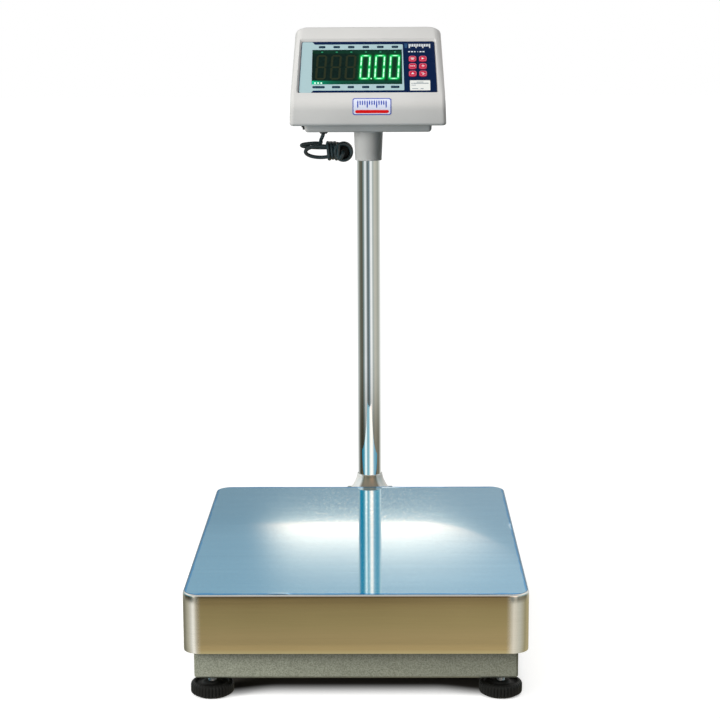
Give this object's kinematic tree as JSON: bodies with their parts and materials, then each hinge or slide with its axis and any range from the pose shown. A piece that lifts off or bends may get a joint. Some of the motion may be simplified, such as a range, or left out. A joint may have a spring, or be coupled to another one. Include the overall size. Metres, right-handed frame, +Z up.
{
  "type": "bench scale",
  "caption": "Platform weighing scale: a lift-off stainless pan on a load cell and adjustable feet, with a swivelling digital indicator on a rear pole.",
  "frame": {"origin": "on the floor, under the centre of the overall box", "axes": "+Z up, +Y from the reader of the display towards the pole, +X to that reader's right"},
  "size_m": [0.4, 0.583, 0.7635],
  "materials": {
    "stainless_pan": "fine brushed stainless, satin",
    "blue_film": "thin translucent blue protective film, glossy",
    "polished_steel": "polished stainless tube, mirror bright",
    "zinc_plate": "zinc plated, satin",
    "aluminium": "milled and anodised, satin",
    "vial_brass": "machined brass, satin",
    "hammertone_paint": "grey green hammertone enamel, semi gloss",
    "black_plastic": "moulded black nylon, satin",
    "rubber": "moulded rubber, matt",
    "warm_white_abs": "moulded warm white ABS, fine texture",
    "grey_abs": "moulded light grey ABS, fine texture",
    "navy_overlay": "printed polyester overlay, satin",
    "tinted_window": "dark green tinted acrylic, glossy",
    "key_red": "printed membrane key, satin",
    "circuit_board": "green solder mask",
    "battery_case": "moulded battery case, matt",
    "laminated_iron": "varnished iron laminations",
    "cord_pvc": "black PVC sheath, satin",
    "digit_green": "lit green display segments",
    "label_paper": "printed paper label, satin"
  },
  "bodies": {
    "base": {"base_frame": "hammertone_paint", "load_cell": "aluminium", "load_cell_lower_plate": "zinc_plate", "load_cell_bolt_lower_1": "zinc_plate", "load_cell_bolt_lower_2": "zinc_plate", "pole_bracket": "hammertone_paint", "bracket_bolt_1": "zinc_plate", "bracket_bolt_2": "zinc_plate", "pole_flange": "polished_steel", "pole": "polished_steel", "level_vial": "vial_brass", "signal_cable": "cord_pvc", "cable_grommet": "rubber"},
    "load_carrier": {"load_spider": "hammertone_paint", "load_cell_upper_plate": "zinc_plate", "load_cell_bolt_upper_1": "zinc_plate", "load_cell_bolt_upper_2": "zinc_plate", "pan_pad_1": "rubber", "pan_pad_2": "rubber", "pan_pad_3": "rubber", "pan_pad_4": "rubber"},
    "pan": {"weighing_pan": "stainless_pan", "protective_film": "blue_film"},
    "foot_sole_1": {"foot_sole_1": "rubber"},
    "foot_screw_1": {"foot_wheel_1": "black_plastic", "foot_stud_1": "zinc_plate"},
    "foot_sole_2": {"foot_sole_2": "rubber"},
    "foot_screw_2": {"foot_wheel_2": "black_plastic", "foot_stud_2": "zinc_plate"},
    "foot_sole_3": {"foot_sole_3": "rubber"},
    "foot_screw_3": {"foot_wheel_3": "black_plastic", "foot_stud_3": "zinc_plate"},
    "foot_sole_4": {"foot_sole_4": "rubber"},
    "foot_screw_4": {"foot_wheel_4": "black_plastic", "foot_stud_4": "zinc_plate"},
    "indicator": {"front_shell": "warm_white_abs", "rear_cover": "grey_abs", "pole_collar": "grey_abs", "collar_screw": "zinc_plate", "display_overlay": "navy_overlay", "display_window": "tinted_window", "led_module": "circuit_board", "main_pcb": "circuit_board", "battery": "battery_case", "transformer": "laminated_iron", "power_switch_body": "black_plastic", "cord_grommet": "rubber", "power_cord": "cord_pvc", "plug_body": "black_plastic", "plug_pin_1": "vial_brass", "plug_pin_2": "vial_brass", "plug_pin_3": "vial_brass"},
    "key_1": {"key_1": "key_red"},
    "key_2": {"key_2": "key_red"},
    "key_3": {"key_3": "key_red"},
    "key_4": {"key_4": "key_red"},
    "key_5": {"key_5": "key_red"},
    "key_6": {"key_6": "key_red"},
    "power_rocker": {"power_rocker": "black_plastic"}
  },
  "joints": [
    {"name": "load_deflection", "type": "slide", "parent": "base", "child": "load_carrier", "axis": [0, 0, 1], "range_m": [-0.0005, 0], "stiffness_N_per_m": 200000},
    {"name": "pan_lift", "type": "slide", "parent": "load_carrier", "child": "pan", "axis": [0, 0, 1], "range_m": [0, 0.12]},
    {"name": "foot_height_1", "type": "slide", "parent": "base", "child": "foot_sole_1", "axis": [0, 0, 1], "range_m": [-0.012, 0.0075]},
    {"name": "foot_turn_1", "type": "hinge", "parent": "foot_sole_1", "child": "foot_screw_1", "pos_m": [-0.169, -0.2575, 0.009], "axis": [0, 0, 1], "range_deg": [-2885, 1805]},
    {"name": "foot_height_2", "type": "slide", "parent": "base", "child": "foot_sole_2", "axis": [0, 0, 1], "range_m": [-0.012, 0.0075]},
    {"name": "foot_turn_2", "type": "hinge", "parent": "foot_sole_2", "child": "foot_screw_2", "pos_m": [-0.169, 0.1745, 0.009], "axis": [0, 0, 1], "range_deg": [-2885, 1805]},
    {"name": "foot_height_3", "type": "slide", "parent": "base", "child": "foot_sole_3", "axis": [0, 0, 1], "range_m": [-0.012, 0.0075]},
    {"name": "foot_turn_3", "type": "hinge", "parent": "foot_sole_3", "child": "foot_screw_3", "pos_m": [0.169, -0.2575, 0.009], "axis": [0, 0, 1], "range_deg": [-2885, 1805]},
    {"name": "foot_height_4", "type": "slide", "parent": "base", "child": "foot_sole_4", "axis": [0, 0, 1], "range_m": [-0.012, 0.0075]},
    {"name": "foot_turn_4", "type": "hinge", "parent": "foot_sole_4", "child": "foot_screw_4", "pos_m": [0.169, 0.1745, 0.009], "axis": [0, 0, 1], "range_deg": [-2885, 1805]},
    {"name": "indicator_swivel", "type": "hinge", "parent": "base", "child": "indicator", "pos_m": [0.013, 0.2435, 0.603], "axis": [0, 0, 1], "range_deg": [-170, 170]},
    {"name": "key_press_1", "type": "slide", "parent": "indicator", "child": "key_1", "axis": [0, 0.7071, -0.7071], "range_m": [0, 0.0004], "stiffness_N_per_m": 200, "springref_m": -0.0005},
    {"name": "key_press_2", "type": "slide", "parent": "indicator", "child": "key_2", "axis": [0, 0.7071, -0.7071], "range_m": [0, 0.0004], "stiffness_N_per_m": 200, "springref_m": -0.0005},
    {"name": "key_press_3", "type": "slide", "parent": "indicator", "child": "key_3", "axis": [0, 0.7071, -0.7071], "range_m": [0, 0.0004], "stiffness_N_per_m": 200, "springref_m": -0.0005},
    {"name": "key_press_4", "type": "slide", "parent": "indicator", "child": "key_4", "axis": [0, 0.7071, -0.7071], "range_m": [0, 0.0004], "stiffness_N_per_m": 200, "springref_m": -0.0005},
    {"name": "key_press_5", "type": "slide", "parent": "indicator", "child": "key_5", "axis": [0, 0.7071, -0.7071], "range_m": [0, 0.0004], "stiffness_N_per_m": 200, "springref_m": -0.0005},
    {"name": "key_press_6", "type": "slide", "parent": "indicator", "child": "key_6", "axis": [0, 0.7071, -0.7071], "range_m": [0, 0.0004], "stiffness_N_per_m": 200, "springref_m": -0.0005},
    {"name": "rocker_tilt", "type": "hinge", "parent": "indicator", "child": "power_rocker", "pos_m": [-0.0755, 0.2355, 0.634], "axis": [0, 0, 1], "range_deg": [-7, 7]}
  ],
  "couplings": [
    {"joint": "foot_turn_1", "follows": "foot_height_1", "rad_per_m": 4188.8},
    {"joint": "foot_turn_2", "follows": "foot_height_2", "rad_per_m": 4188.8},
    {"joint": "foot_turn_3", "follows": "foot_height_3", "rad_per_m": 4188.8},
    {"joint": "foot_turn_4", "follows": "foot_height_4", "rad_per_m": 4188.8}
  ]
}
